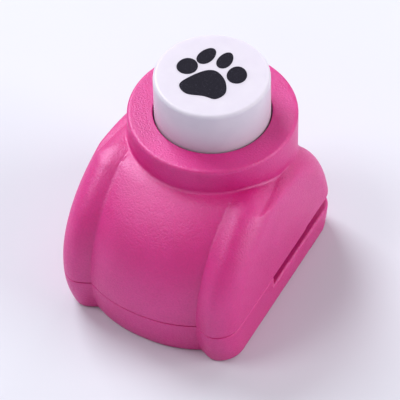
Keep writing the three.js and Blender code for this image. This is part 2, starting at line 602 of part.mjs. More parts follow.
// The lip that keeps the halves in line: a strip inside the belly's wall that
// rises past the seam, and a filler below the seam that joins it to the wall.
function lip() {
  const outer = WALL + LIP_CLEARANCE;
  const floorZ = TUB_FLOOR - LIP_FOOT_DEPTH;
  const topZ = SEAM_Z + LIP_HEIGHT;
  const fillerZ = SEAM_Z - LIP_FILLER_DEPTH;
  const solidAt = (inset, top) => loft([floorZ, top].map((z) => casingRing(z, inset, LIP_OUTLINE_Z)));
  const strip = cut(solidAt(outer, topZ), solidAt(outer + LIP_THICKNESS, topZ));
  const filler = cut(solidAt(WALL / 2, fillerZ), solidAt(outer + LIP_THICKNESS, fillerZ));
  return joined(strip, filler).intersect(box(-LIP_HALF_LENGTH, LIP_HALF_LENGTH, -FAR, BELLY_SCREW_Y, 0, FAR));
}

// ------------------------------------------------------------- button and punch

function pushButton() {
  const topRadius = BUTTON_RADIUS - BUTTON_DRAFT;
  const roof = BUTTON_TOP_Z - BUTTON_TOP_WALL;
  const sleeve = STEM_RADIUS + SEAT_GAP;
  const sleeveRoof = HEAD_TOP_Z + STEM_LENGTH + STEM_END_GAP;
  return turned([
    [0, sleeveRoof], [sleeve, sleeveRoof], [sleeve, HEAD_TOP_Z + SEAT_GAP],
    [sleeve + STEM_WALL, HEAD_TOP_Z + SEAT_GAP], [sleeve + STEM_WALL, roof],
    [SKIRT_INNER - BUTTON_DRAFT, roof], [SKIRT_INNER, HEAD_TOP_Z], [SKIRT_INNER, FLANGE_BOTTOM_Z],
    [FLANGE_RADIUS, FLANGE_BOTTOM_Z], [FLANGE_RADIUS, FLANGE_TOP_Z], [BUTTON_RADIUS, FLANGE_TOP_Z],
    [BUTTON_RADIUS, COLLAR_TOP_Z], ...topEdge(topRadius, BUTTON_TOP_Z, BUTTON_EDGE), [0, BUTTON_TOP_Z],
  ]);
}

// One casting: a round head, the stem that presses into the button, and the
// five prongs of the paw pattern.
function punchCasting() {
  const stemTop = HEAD_TOP_Z + STEM_LENGTH;
  const head = turned([
    [0, HEAD_BOTTOM_Z], [HEAD_RADIUS - HEAD_CHAMFER, HEAD_BOTTOM_Z],
    [HEAD_RADIUS, HEAD_BOTTOM_Z + HEAD_CHAMFER],
    [HEAD_RADIUS, HEAD_TOP_Z], [STEM_RADIUS, HEAD_TOP_Z], [STEM_RADIUS, stemTop - STEM_CHAMFER],
    [STEM_RADIUS - STEM_CHAMFER, stemTop], [0, stemTop],
  ]);
  return joined(head, ...pawPrisms(PRONG_TIP_Z, HEAD_BOTTOM_Z + PRONG_ROOT, 0));
}

// A coil with closed ends: the first and last turns lie flat on their seats.
function returnSpring() {
  const half = SPRING_WIRE / 2;
  const low = SPRING_SEAT_Z + half + SPRING_END_GAP;
  const high = HEAD_BOTTOM_Z - half - SPRING_END_GAP;
  const flatRise = SPRING_WIRE * FLAT_TURN_PITCH;
  const openTurns = SPRING_TURNS - 2;
  const heightAt = (turn) => {
    if (turn < 1) return low + flatRise * turn;
    if (turn > SPRING_TURNS - 1) return high - flatRise * (SPRING_TURNS - turn);
    return low + flatRise + ((high - low - 2 * flatRise) * (turn - 1)) / openTurns;
  };
  const wire = arc(SPRING_INNER + half, 0, half, half, 0, 2 * Math.PI, WIRE_SIDES);
  const section = wire.slice(0, -1).reverse();
  const steps = SPRING_TURNS * STEPS_PER_TURN;
  const rings = heights(0, SPRING_TURNS, steps).map((turn) => {
    const angle = 2 * Math.PI * turn;
    return section.map(([out, up]) => [out * Math.cos(angle), out * Math.sin(angle), heightAt(turn) + up]);
  });
  return loft(rings);
}

// ------------------------------------------------------------------- assembly

const punch = new THREE.Group();
punch.position.y = AXIS_Y;

function place(name, body, look) {
  const mesh = new THREE.Mesh(geometryOf(body), new THREE.MeshStandardMaterial(look));
  mesh.name = name;
  punch.add(mesh);
}

place('upper_shell', upperShell(), PINK);
place('base_cover', baseCover(), PINK);
place('push_button', pushButton(), WHITE);
place('punch_casting', punchCasting(), ZINC);
place('return_spring', returnSpring(), SPRING_STEEL);
place('guide_block', guideBlock(), ZINC);
place('die_spacer', dieSpacer(), STEEL);
place('die_plate', diePlate(), STEEL);
RIVETS.forEach((spot, i) => place(`die_rivet_${i + 1}`, rivet(spot), STEEL));
DOWELS.forEach((spot, i) => place(`die_dowel_${i + 1}`, dowel(spot), STEEL));
BASE_SCREWS.forEach((spot, i) => place(`base_screw_${i + 1}`, baseScrew(spot), STEEL));
PLATE_SCREWS.forEach((spot, i) => place(`guide_screw_${i + 1}`, guideScrew(spot), STEEL));
PLATE_SCREWS.forEach((spot, i) => place(`die_screw_${i + 1}`, dieScrew(spot), STEEL));

export default punch;
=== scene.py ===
"""Mini craft punch: the visual model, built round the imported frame.

Lengths are millimetres measured from the button's axis, unless a name ends in _M. Each piece is
placed by one function, and the sizes come from the boxes of the CAD nodes that it stands for.
"""
import math

import bmesh
import bpy
import numpy as np
from mathutils import Matrix, Vector


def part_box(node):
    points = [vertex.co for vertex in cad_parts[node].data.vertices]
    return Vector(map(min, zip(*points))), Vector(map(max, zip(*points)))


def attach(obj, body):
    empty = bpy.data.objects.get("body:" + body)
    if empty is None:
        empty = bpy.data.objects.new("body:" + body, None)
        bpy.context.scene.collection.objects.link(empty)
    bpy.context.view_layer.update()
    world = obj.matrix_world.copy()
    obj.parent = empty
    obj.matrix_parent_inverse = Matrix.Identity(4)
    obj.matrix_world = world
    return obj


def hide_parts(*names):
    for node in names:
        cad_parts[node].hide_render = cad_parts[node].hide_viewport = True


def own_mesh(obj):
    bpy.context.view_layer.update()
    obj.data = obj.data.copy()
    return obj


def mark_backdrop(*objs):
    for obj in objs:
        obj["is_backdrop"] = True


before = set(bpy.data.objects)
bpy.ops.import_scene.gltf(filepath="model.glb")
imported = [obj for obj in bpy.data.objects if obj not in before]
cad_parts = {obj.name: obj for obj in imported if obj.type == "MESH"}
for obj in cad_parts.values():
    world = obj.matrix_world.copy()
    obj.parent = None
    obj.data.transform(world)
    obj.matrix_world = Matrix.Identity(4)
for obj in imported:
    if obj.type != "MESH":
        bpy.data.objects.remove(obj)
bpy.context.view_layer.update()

MM = 0.001

# ------------------------------------------------------------------ sizes from the frame

button_low_m, button_high_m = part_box("push_button")
AXIS = np.array([0.0, (button_low_m.y + button_high_m.y) / 2 / MM, 0.0])


def box_of(node):
    """Lowest and highest corner of a CAD node, in millimetres from the button's axis."""
    low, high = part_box(node)
    return np.array(low) / MM - AXIS, np.array(high) / MM - AXIS


def middle_of(node):
    low, high = box_of(node)
    return (low + high) / 2


shell_low, shell_high = box_of("upper_shell")
_, base_high = box_of("base_cover")
button_low, button_high = box_of("push_button")
punch_low, punch_high = box_of("punch_casting")
spring_low, spring_high = box_of("return_spring")
guide_low, guide_high = box_of("guide_block")
die_low, die_high = box_of("die_plate")
spacer_low, spacer_high = box_of("die_spacer")

HALF_WIDTH = shell_high[0]
FRONT_REACH = -shell_low[1]
BACK_REACH = base_high[1]
COLLAR_RADIUS = shell_high[1]
COLLAR_TOP = shell_high[2]
SHELL_FOOT = shell_low[2]
SLOT_FLOOR = die_high[2]
FLANGE_RADIUS = button_high[0]
PUNCH_HEAD_RADIUS = punch_high[0]

# ------------------------------------------------------------------ casing sizes

WALL = 1.7
SEAM_GAP = 0.12
COVER_TOP = SHELL_FOOT - SEAM_GAP
BELLY_BULGE = 1.8
GROOVE_X = 7.9
LOBE_RISE = 0.9
LOBE_FACE = 2.8
BELLY_POWER = 2.3
LOBE_RADIUS = 3.4
RIDGE_RADIUS = 1.2
COLLAR_RIM = 0.45
COLLAR_FILLET = 0.35
FLANGE_OVERHANG = 1.55
BUTTON_GAP = 0.16
BUTTON_RADIUS = FLANGE_RADIUS - FLANGE_OVERHANG
BORE_RADIUS = BUTTON_RADIUS + BUTTON_GAP
BORE_EDGE = 0.14
TOWER_CLEARANCE = 0.4
TOWER_BORE = FLANGE_RADIUS + TOWER_CLEARANCE
TOWER_ROOF_DEPTH = 5.15
TOWER_ROOF = COLLAR_TOP - TOWER_ROOF_DEPTH
ROOF_INNER_EDGE = 0.7
CAVITY_ROOF = 19.7
SEAM_EDGE = 0.14
SLOT_END = -7.7
SLOT_RELIEF = 0.25
SLOT_RELIEF_START = 1.6
SLOT_RELIEF_RAMP = 0.35
SLOT_RELIEF_HEIGHT = 2.5
LIP_EDGE = 0.4
FOOT_EDGE = 0.3
DIE_POCKET_CLEARANCE = 0.3
BACK_INSET = 0.05

# How each side of the casing curves with height: full reach at "full", drawn in by "tuck" at the
# foot, rounded over towards "top". A higher power stays upright for longer.
FRONT_CURVE = {"reach": FRONT_REACH - BELLY_BULGE, "full": 7.1, "top": 23.33, "tuck": 1.33, "power": 2.1}
SIDE_CURVE = {"reach": HALF_WIDTH, "full": 6.4, "top": 30.61, "tuck": 0.3, "power": 5.41}
BACK_CURVE = {"reach": BACK_REACH - BACK_INSET, "full": 5.09, "top": 20.33, "tuck": 0.4, "power": 1.52}
SLOPE_STEP = 0.02
ROOF_SLOPE = 8.0
ROUND_LIMIT = 0.9995

# ------------------------------------------------------------------ mesh helpers

WELD_DISTANCE_M = 1e-7
SHARP_ANGLE = 35
CASING_SHARP_ANGLE = 40
TURNED_SEGMENTS = 128
DRUM_SEGMENTS = 64
PIN_SEGMENTS = 48


def mesh_object(name, points, faces, material=None, sharp_angle=SHARP_ANGLE):
    """A mesh from points in millimetres from the button's axis."""
    mesh = bpy.data.meshes.new(name)
    placed = (np.asarray(points, float).reshape(-1, 3) + AXIS) * MM
    mesh.from_pydata(placed.tolist(), [], faces)
    mesh.validate()
    obj = bpy.data.objects.new(name, mesh)
    bpy.context.collection.objects.link(obj)
    tidy_mesh(obj, sharp_angle)
    if material is not None:
        obj.data.materials.append(material)
    return obj


def tidy_mesh(obj, sharp_angle=SHARP_ANGLE):
    """Faces point outwards, and only edges sharper than sharp_angle degrees shade as edges."""
    work = bmesh.new()
    work.from_mesh(obj.data)
    bmesh.ops.remove_doubles(work, verts=work.verts, dist=WELD_DISTANCE_M)
    bmesh.ops.recalc_face_normals(work, faces=work.faces)
    work.to_mesh(obj.data)
    work.free()
    obj.data.shade_smooth()
    obj.data.set_sharp_from_angle(angle=math.radians(sharp_angle))


def grid_faces(rows, columns, wrap_rows=False):
    """Quads between rows of points, each row a closed ring."""
    faces = []
    for row in range(rows if wrap_rows else rows - 1):
        above = (row + 1) % rows
        for column in range(columns):
            beside = (column + 1) % columns
            faces.append((
                row * columns + column,
                row * columns + beside,
                above * columns + beside,
                above * columns + column,
            ))
    return faces


def rings_object(name, rings, material=None):
    """A closed body through rings of equal point count, closed by flat ends."""
    rings = np.asarray(rings, float)
    rows, columns = rings.shape[:2]
    faces = grid_faces(rows, columns)
    faces.append(tuple(reversed(range(columns))))
    faces.append(tuple(range((rows - 1) * columns, rows * columns)))
    return mesh_object(name, rings, faces, material)


def turned_object(name, profile, segments=TURNED_SEGMENTS, centre=(0, 0), material=None, closed=False):
    """A turned body from (radius, height) points. closed joins the last point to the first."""
    angles = np.arange(segments) * 2 * math.pi / segments
    across = np.stack([np.cos(angles), np.sin(angles)], axis=1)
    rings = []
    for radius, height in profile:
        ring = np.zeros((segments, 3))
        ring[:, :2] = across * radius + np.asarray(centre)
        ring[:, 2] = height
        rings.append(ring)
    if closed:
        faces = grid_faces(len(rings), segments, wrap_rows=True)
        return mesh_object(name, rings, faces, material)
    return rings_object(name, rings, material)


def arc(x, z, radius, start, end, steps):
    """Points on an arc, angles in degrees."""
    angles = np.radians(np.linspace(start, end, steps + 1))
    return [(x + radius * math.cos(a), z + radius * math.sin(a)) for a in angles]


def prism_object(name, outline, low, high, edge=0.0, material=None):
    """An upright prism on a closed (x, y) outline that runs anticlockwise, with small chamfers."""
    outline = np.asarray(outline, float)
    tangent = np.roll(outline, -1, axis=0) - np.roll(outline, 1, axis=0)
    tangent /= np.linalg.norm(tangent, axis=1)[:, None]
    inward = np.stack([-tangent[:, 1], tangent[:, 0]], axis=1)
    levels = [(low, 0), (high, 0)]
    if edge:
        levels = [(low, edge), (low + edge, 0), (high - edge, 0), (high, edge)]
    rings = []
    for height, inset in levels:
        ring = np.zeros((len(outline), 3))
        ring[:, :2] = outline + inward * inset
        ring[:, 2] = height
        rings.append(ring)
    return rings_object(name, rings, material)


def apply_boolean(target, tools, operation):
    """Joins, cuts or crosses target with each tool, and removes the tools."""
    for tool in tools:
        modifier = target.modifiers.new(operation, "BOOLEAN")
        modifier.operation = operation
        modifier.solver = "MANIFOLD"
        modifier.object = tool
    evaluated = target.evaluated_get(bpy.context.evaluated_depsgraph_get())
    result = bpy.data.meshes.new_from_object(evaluated)
    target.modifiers.clear()
    target.data = result
    for tool in tools:
        bpy.data.objects.remove(tool)
    tidy_mesh(target)
    return target


def cut(target, *tools):
    return apply_boolean(target, tools, "DIFFERENCE")


def join(target, *tools):
    return apply_boolean(target, tools, "UNION")


def keep_inside(target, *tools):
    return apply_boolean(target, tools, "INTERSECT")


def drum(x, y, low, high, radius):
    """A round cutting tool."""
    return turned_object("tool", [(radius, low), (radius, high)], DRUM_SEGMENTS, (x, y))


def flared_hole(radius, edge, high, segments, centre):
    """A round cutting tool through the underside, with a chamfered mouth."""
    mouth = radius + edge
    return turned_object("tool", [(mouth, -1), (mouth, 0), (radius, edge), (radius, high)], segments, centre)


def block(low, high):
    """A cutting block between two corners."""
    (x0, y0, z0), (x1, y1, z1) = low, high
    outline = [(x0, y0), (x1, y0), (x1, y1), (x0, y1)]
    return prism_object("tool", outline, z0, z1)


def place(obj, body, slot_name, *nodes):
    """What the piece rides on, and which CAD nodes it stands for; slot_name is not used."""
    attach(obj, body)
    if nodes:
        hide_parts(*nodes)
    return obj


# ------------------------------------------------------------------ casing surface


def reach_at(z, curve):
    """Reach of a casing side at a height."""
    below = curve["reach"] - curve["tuck"] * (np.clip(curve["full"] - z, 0, None) / curve["full"]) ** 2
    rise = np.clip((z - curve["full"]) / (curve["top"] - curve["full"]), 0, ROUND_LIMIT)
    beyond = ROOF_SLOPE * np.clip(z - curve["top"], 0, None)
    above = curve["reach"] * np.sqrt(1 - rise ** curve["power"]) - beyond
    return np.where(z <= curve["full"], below, above)


def lean(z, curve):
    """Length of the side's slope vector, which turns a sideways distance into a true one."""
    slope = (reach_at(z + SLOPE_STEP, curve) - reach_at(z - SLOPE_STEP, curve)) / (2 * SLOPE_STEP)
    return np.sqrt(1 + np.clip(slope, -ROOF_SLOPE, ROOF_SLOPE) ** 2)


def round_cross(a, b, radius):
    """Distance to where two bodies overlap, with a rounded outer edge."""
    corner = np.hypot(np.maximum(radius + a, 0), np.maximum(radius + b, 0))
    return np.minimum(-radius, np.maximum(a, b)) + corner


def round_join(a, b, radius):
    """Distance to two bodies together, with a rounded inner corner."""
    corner = np.hypot(np.maximum(radius - a, 0), np.maximum(radius - b, 0))
    return np.maximum(radius, np.minimum(a, b)) - corner


def front_relief(across):
    """How far the front stands ahead of the grooves: the belly between them, a lobe outside each."""
    belly = BELLY_BULGE * (1 - np.clip(across / GROOVE_X, 0, 1) ** BELLY_POWER)
    share = np.clip((across - GROOVE_X) / LOBE_FACE, 0, 1)
    lobe = LOBE_RISE * np.sin(share * math.pi / 2)
    return np.where(across < GROOVE_X, belly, lobe)


def body_distance(x, y, z):
    """Distance to the casing without its collar, below zero inside."""
    across = np.abs(x)
    front = (-y - reach_at(z, FRONT_CURVE) - front_relief(across)) / lean(z, FRONT_CURVE)
    back = (y - reach_at(z, BACK_CURVE)) / lean(z, BACK_CURVE)
    side = (across - reach_at(z, SIDE_CURVE)) / lean(z, SIDE_CURVE)
    return round_cross(round_cross(front, back, RIDGE_RADIUS), side, LOBE_RADIUS)


def collar_distance(x, y, z):
    return round_cross(np.hypot(x, y) - COLLAR_RADIUS, z - COLLAR_TOP, COLLAR_RIM)


def shell_distance(x, y, z):
    """Distance to the upper casing's outer surface, with its rounded lower edge."""
    outside = round_join(body_distance(x, y, z), collar_distance(x, y, z), COLLAR_FILLET)
    return round_cross(outside, SHELL_FOOT - z, SEAM_EDGE)


def cavity_distance(x, y, z):
    """Distance to the room inside the upper casing."""
    room = np.maximum(body_distance(x, y, z) + WALL, z - CAVITY_ROOF)
    tower = np.maximum(np.hypot(x, y) - TOWER_BORE, z - TOWER_ROOF)
    return np.minimum(room, tower)


RAY_START = 0.5
RAY_END = 45.0
RAY_STEPS = 44


def bisected(low, high, steps, falls_short):
    """The values between low and high where falls_short stops being true."""
    for _ in range(steps):
        middle = (low + high) / 2
        short = falls_short(middle)
        low = np.where(short, middle, low)
        high = np.where(short, high, middle)
    return low


def along_rays(reach, turn, climb, height):
    """x, y and z at a reach along rays from the button's axis."""
    flat = reach * np.cos(climb)
    return flat * np.sin(turn), -flat * np.cos(turn), height + reach * np.sin(climb)


def rays(distance, turn, climb, height):
    """Where rays from the button's axis leave a body. turn is from the belly, climb from level."""
    near = np.full(np.broadcast(turn, climb, height).shape, RAY_START)
    far = np.full(near.shape, RAY_END)

    def inside(reach):
        return distance(*along_rays(reach, turn, climb, height)) < 0

    reach = bisected(near, far, RAY_STEPS, inside)
    return np.stack(along_rays(reach, turn, climb, height), -1)


# Columns of the casing meshes run from the middle of the belly round to the middle of the back.
BELLY_COLUMNS = 44
SIDE_COLUMNS = 148
OUTLINE_SAMPLES = 4000
FRONT_SAMPLES = 1200
GROOVE_START = math.radians(5.0)
GROOVE_STEPS = 40


def column_turns():
    """Turn of each column of the right half at the seam, evenly spaced, one of them in the groove."""
    fine = np.linspace(0, math.pi, OUTLINE_SAMPLES)
    outline = rays(body_distance, fine, np.zeros(1), np.full(1, COVER_TOP))
    length = np.concatenate([[0], np.cumsum(np.linalg.norm(np.diff(outline, axis=0), axis=1))])
    groove = np.interp(GROOVE_X, outline[:FRONT_SAMPLES, 0], length[:FRONT_SAMPLES])
    belly = np.linspace(0, groove, BELLY_COLUMNS + 1)[:-1]
    side = np.linspace(groove, length[-1], SIDE_COLUMNS + 1)
    return np.interp(np.concatenate([belly, side]), length, fine)


def groove_turns(distance, climbs, height):
    """Turn at which each row crosses the groove, so that one column follows it up to the collar."""
    low = np.full(len(climbs), GROOVE_START)
    high = np.full(len(climbs), math.asin(GROOVE_X / COLLAR_RADIUS))

    def short_of_groove(turn):
        return rays(distance, turn, climbs, height)[:, 0] < GROOVE_X

    return bisected(low, high, GROOVE_STEPS, short_of_groove)


def bent_turns(turns, groove):
    """The columns of each row, stretched so that the groove's column stays in the groove."""
    start = turns[BELLY_COLUMNS]
    ahead = turns[None, :] * (groove / start)[:, None]
    beyond = groove[:, None] + (turns[None, :] - start) * ((math.pi - groove) / (math.pi - start))[:, None]
    return np.where(turns[None, :] < start, ahead, beyond)


def both_halves(grid):
    """Rows of the right half, with their mirror image, as closed rings."""
    mirrored = grid[:, -2:0:-1] * np.array([-1, 1, 1])
    return np.concatenate([grid, mirrored], axis=1)


def raise_slot_edge(points):
    """Lifts the shell's lower edge at the paper slot's mouth, with a short ramp."""
    share = np.clip((points[..., 1] - SLOT_RELIEF_START) / SLOT_RELIEF_RAMP, 0, 1)
    fade = np.clip(1 - (points[..., 2] - SHELL_FOOT) / SLOT_RELIEF_HEIGHT, 0, 1)
    lifted = points.copy()
    lifted[..., 2] += SLOT_RELIEF * share ** 2 * (3 - 2 * share) * fade
    return lifted


# Moulding flash: a fine broken line of raised plastic down each groove, from the collar to a height.
FLASH_LINES = ({"side": 1, "low": 18.5, "rise": 0.05}, {"side": -1, "low": 12.0, "rise": 0.1})
FLASH_BELOW_TOP = 2.6
FLASH_FADE = 3
FLASH_EVEN = 0.7
FLASH_BROKEN = 0.3
FLASH_WAVES = (11.3, 3.7)


def add_flash(outer):
    """Raises the grooves' columns of the shell's outer surface by a fine broken ridge."""
    count = outer.shape[1]
    for line in FLASH_LINES:
        column = BELLY_COLUMNS if line["side"] > 0 else count - BELLY_COLUMNS
        spots = outer[:, column]
        height = spots[:, 2]
        shown = (height > line["low"]) & (height < COLLAR_TOP - FLASH_BELOW_TOP)
        short_wave, long_wave = (height * wave for wave in FLASH_WAVES)
        broken = FLASH_EVEN + FLASH_BROKEN * np.sin(short_wave) * np.sin(long_wave + 1.0)
        fade = np.clip((height - line["low"]) / FLASH_FADE, 0, 1)
        outward = spots - np.array([0, 0, SHELL_FOOT])
        outward /= np.linalg.norm(outward, axis=1)[:, None]
        outer[:, column] += outward * (line["rise"] * shown * broken * fade)[:, None]


# ------------------------------------------------------------------ upper casing

# Climbs of the outer surface's rows, in degrees: close together at the lower edge, then evenly up
# the body, and finer from where the collar begins.
EDGE_CLIMBS = [0.02, 0.06, 0.12, 0.2, 0.3, 0.42, 0.56]
BODY_CLIMB = 0.8
BODY_CLIMB_STEP = 0.55
COLLAR_CLIMB = 50
COLLAR_CLIMB_STEP = 0.24
BORE_ROWS = 8
INNER_ROWS = 55


def upper_casing(material):
    """The pink shell: walls, lobes, shoulder and collar as one closed mesh, inside and out."""
    turns = column_turns()
    rim_turn = math.degrees(math.atan2(COLLAR_TOP - SHELL_FOOT, BORE_RADIUS + BORE_EDGE))
    climbs = np.radians(np.concatenate([
        EDGE_CLIMBS,
        np.arange(BODY_CLIMB, COLLAR_CLIMB, BODY_CLIMB_STEP),
        np.arange(COLLAR_CLIMB, rim_turn, COLLAR_CLIMB_STEP),
        [rim_turn],
    ]))
    groove = groove_turns(shell_distance, climbs, SHELL_FOOT)
    outer_turns = bent_turns(turns, groove)
    outer = both_halves(rays(shell_distance, outer_turns, climbs[:, None], SHELL_FOOT))

    around = np.arctan2(outer[-1, :, 0], -outer[-1, :, 1])
    profile = arc(BORE_RADIUS + BORE_EDGE, COLLAR_TOP - BORE_EDGE, BORE_EDGE, 90, 180, 6)[1:]
    profile += [(BORE_RADIUS, z) for z in np.linspace(COLLAR_TOP - 1, TOWER_ROOF, BORE_ROWS)]
    profile += [(BORE_RADIUS + ROOF_INNER_EDGE, TOWER_ROOF), (TOWER_BORE, TOWER_ROOF)]
    bore = np.array([
        np.stack([r * np.sin(around), -r * np.cos(around), np.full(len(around), z)], -1) for r, z in profile
    ])

    tower_turn = math.atan2(TOWER_ROOF - SHELL_FOOT, TOWER_BORE)
    inner_climbs = np.linspace(tower_turn, 0, INNER_ROWS + 1)[1:]
    share = np.linspace(1, 0, len(inner_climbs))[:, None]
    inner_turns = outer_turns[-1] * share + outer_turns[0] * (1 - share)
    inner = both_halves(rays(cavity_distance, inner_turns, inner_climbs[:, None], SHELL_FOOT))

    add_flash(outer)
    rows = raise_slot_edge(np.concatenate([outer, bore, inner]))
    faces = grid_faces(*rows.shape[:2], wrap_rows=True)
    shell = mesh_object("casing_upper", rows, faces, material, CASING_SHARP_ANGLE)
    return place(shell, "casing", "pink_plastic", "upper_shell")


# ------------------------------------------------------------------ lower casing

WALL_ROWS = 7
PLATE_SHOULDER = 3.0
PLATE_CORNER = 1.5
DIE_FLOOR = die_low[2] - 0.05

# The round hole that the chips fall through.
CHIP_RADIUS = 6.2
CHIP_EDGE = 0.25

# Screw and rivet seats in the base: radius of the shank's hole, and how deep the head sits.
BASE_SCREW_HOLE = {"shank": 1.07, "seat": 2.0}
DIE_SCREW_HOLE = {"shank": 0.87, "seat": 1.3}
SEAT_CLEARANCE = 0.22
SEAT_EDGE = 0.15
RIVET_SEAT_RADIUS = 1.92
RIVET_SEAT_DEPTH = 0.9


def outline_at(z, inset, turns):
    """Right half of the casing's outline at a height, drawn in by inset."""
    return rays(lambda x, y, h: body_distance(x, y, h) + inset, turns, np.zeros(1), np.full(1, z))


def lower_casing(material):
    """The pink lower half: full height ahead of the slot, the lower jaw behind it."""
    turns = column_turns()
    step = int(np.argmin(np.abs(outline_at(COVER_TOP, 0, turns)[:, 1] - SLOT_END)))
    jaw_wall = SLOT_FLOOR - LIP_EDGE
    shared = [(FOOT_EDGE - x, z) for x, z in arc(0, FOOT_EDGE, FOOT_EDGE, -90, 0, 5)]
    shared += [(0, z) for z in np.linspace(FOOT_EDGE, jaw_wall, WALL_ROWS + 1)[1:]]
    front = [(0, z) for z in np.linspace(jaw_wall, COVER_TOP - SEAM_EDGE, WALL_ROWS + 1)[1:]]
    front += [(SEAM_EDGE - x, z) for x, z in arc(0, COVER_TOP - SEAM_EDGE, SEAM_EDGE, 0, 90, 4)[1:]]
    rear = [(LIP_EDGE - x, z) for x, z in arc(0, jaw_wall, LIP_EDGE, 0, 90, 11)[1:]]

    def rows(levels):
        grid = np.array([outline_at(z, inset, turns) for inset, z in levels])
        for row, (inset, z) in zip(grid, levels):
            row[step, :2] = (reach_at(z, SIDE_CURVE) - inset, SLOT_END)
        return both_halves(grid)

    low_rows, front_rows, rear_rows = rows(shared), rows(front), rows(rear)
    count = low_rows.shape[1]
    other_step = count - step
    ahead = [*range(other_step, count), *range(0, step + 1)]
    behind = list(range(step, other_step + 1))
    points = [*low_rows.reshape(-1, 3)]
    faces = grid_faces(len(low_rows), count)
    faces.append(tuple(reversed(range(count))))
    ends = {}
    for part, columns, grid in (("front", ahead, front_rows), ("rear", behind, rear_rows)):
        start = len(points)
        width = len(columns)
        points.extend(grid[:, columns].reshape(-1, 3))
        below = [(len(low_rows) - 1) * count + column for column in columns]
        ladder = [below] + [[start + row * width + i for i in range(width)] for row in range(len(grid))]
        for under, over in zip(ladder, ladder[1:]):
            for i in range(width - 1):
                faces.append((under[i], under[i + 1], over[i + 1], over[i]))
        faces.append(tuple(ladder[-1]))
        ends[part] = ([line[0] for line in ladder], [line[-1] for line in ladder])
    left_front, right_front = ends["front"]
    right_rear, left_rear = ends["rear"]
    wall = right_front + left_front[::-1] + left_rear[1:] + right_rear[:0:-1]
    faces.append(tuple(wall))
    cover = mesh_object("casing_lower", points, faces, material, CASING_SHARP_ANGLE)
    hollow_cover(cover)
    return place(cover, "casing", "pink_plastic", "base_cover")


def plate_outline(grow=0.0):
    """Outline of the guide block and the die plate: straight sides, an elliptical back."""
    half = die_high[0] + grow
    front = die_low[1] - grow
    rear = die_high[1] - PLATE_SHOULDER + grow
    corner = PLATE_CORNER
    points = arc(half - corner, front + corner, corner, -90, 0, 8)
    angles = np.linspace(0, math.pi, 61)
    points += [(half * math.cos(a), PLATE_SHOULDER + rear * math.sin(a)) for a in angles]
    points += arc(-half + corner, front + corner, corner, 180, 270, 8)
    return points


BASE_SCREWS = [f"base_screw_{i}" for i in (1, 2, 3)]
DIE_SCREWS = [f"die_screw_{i}" for i in (1, 2)]
GUIDE_SCREWS = [f"guide_screw_{i}" for i in (1, 2)]
RIVETS = [f"die_rivet_{i}" for i in (1, 2)]
DOWELS = [f"die_dowel_{i}" for i in (1, 2)]
FAR = 60.0


def hollow_cover(cover):
    """Cuts the die pocket, the chip hole, and the screws' and rivets' holes and seats."""
    tools = [
        prism_object("tool", plate_outline(DIE_POCKET_CLEARANCE), DIE_FLOOR, FAR),
        flared_hole(CHIP_RADIUS, CHIP_EDGE, DIE_FLOOR + 1, TURNED_SEGMENTS, (0, 0)),
    ]
    for node in BASE_SCREWS + DIE_SCREWS:
        low, high = box_of(node)
        x, y, _ = (low + high) / 2
        head = (high[0] - low[0]) / 2
        hole = BASE_SCREW_HOLE if node in BASE_SCREWS else DIE_SCREW_HOLE
        tools.append(drum(x, y, -1, FAR, hole["shank"]))
        tools.append(flared_hole(head + SEAT_CLEARANCE, SEAT_EDGE, hole["seat"], DRUM_SEGMENTS, (x, y)))
    for node in RIVETS:
        x, y, _ = middle_of(node)
        tools.append(drum(x, y, DIE_FLOOR - RIVET_SEAT_DEPTH, FAR, RIVET_SEAT_RADIUS))
    cut(cover, *tools)


# ------------------------------------------------------------------ button


BUTTON_EDGE = 0.5
BUTTON_DRAFT = 0.06
FLANGE_HEIGHT = 1.5
SKIRT_RADIUS = 6.6
BUTTON_ROOF = 1.4
SLEEVE_RADIUS = 2.05
SLEEVE_OUTER = 3.65
SLEEVE_DEPTH = 5.7
SLEEVE_MOUTH = 0.3
SKIRT_EDGE = 0.15
FLANGE_EDGE = 0.2
ROOF_FILLET = 0.4
CAP_CENTRE = 0.5
CAP_SEGMENTS = 160
PUNCH_STEM_LENGTH = 5.4
STEM_SEAT_GAP = 0.05


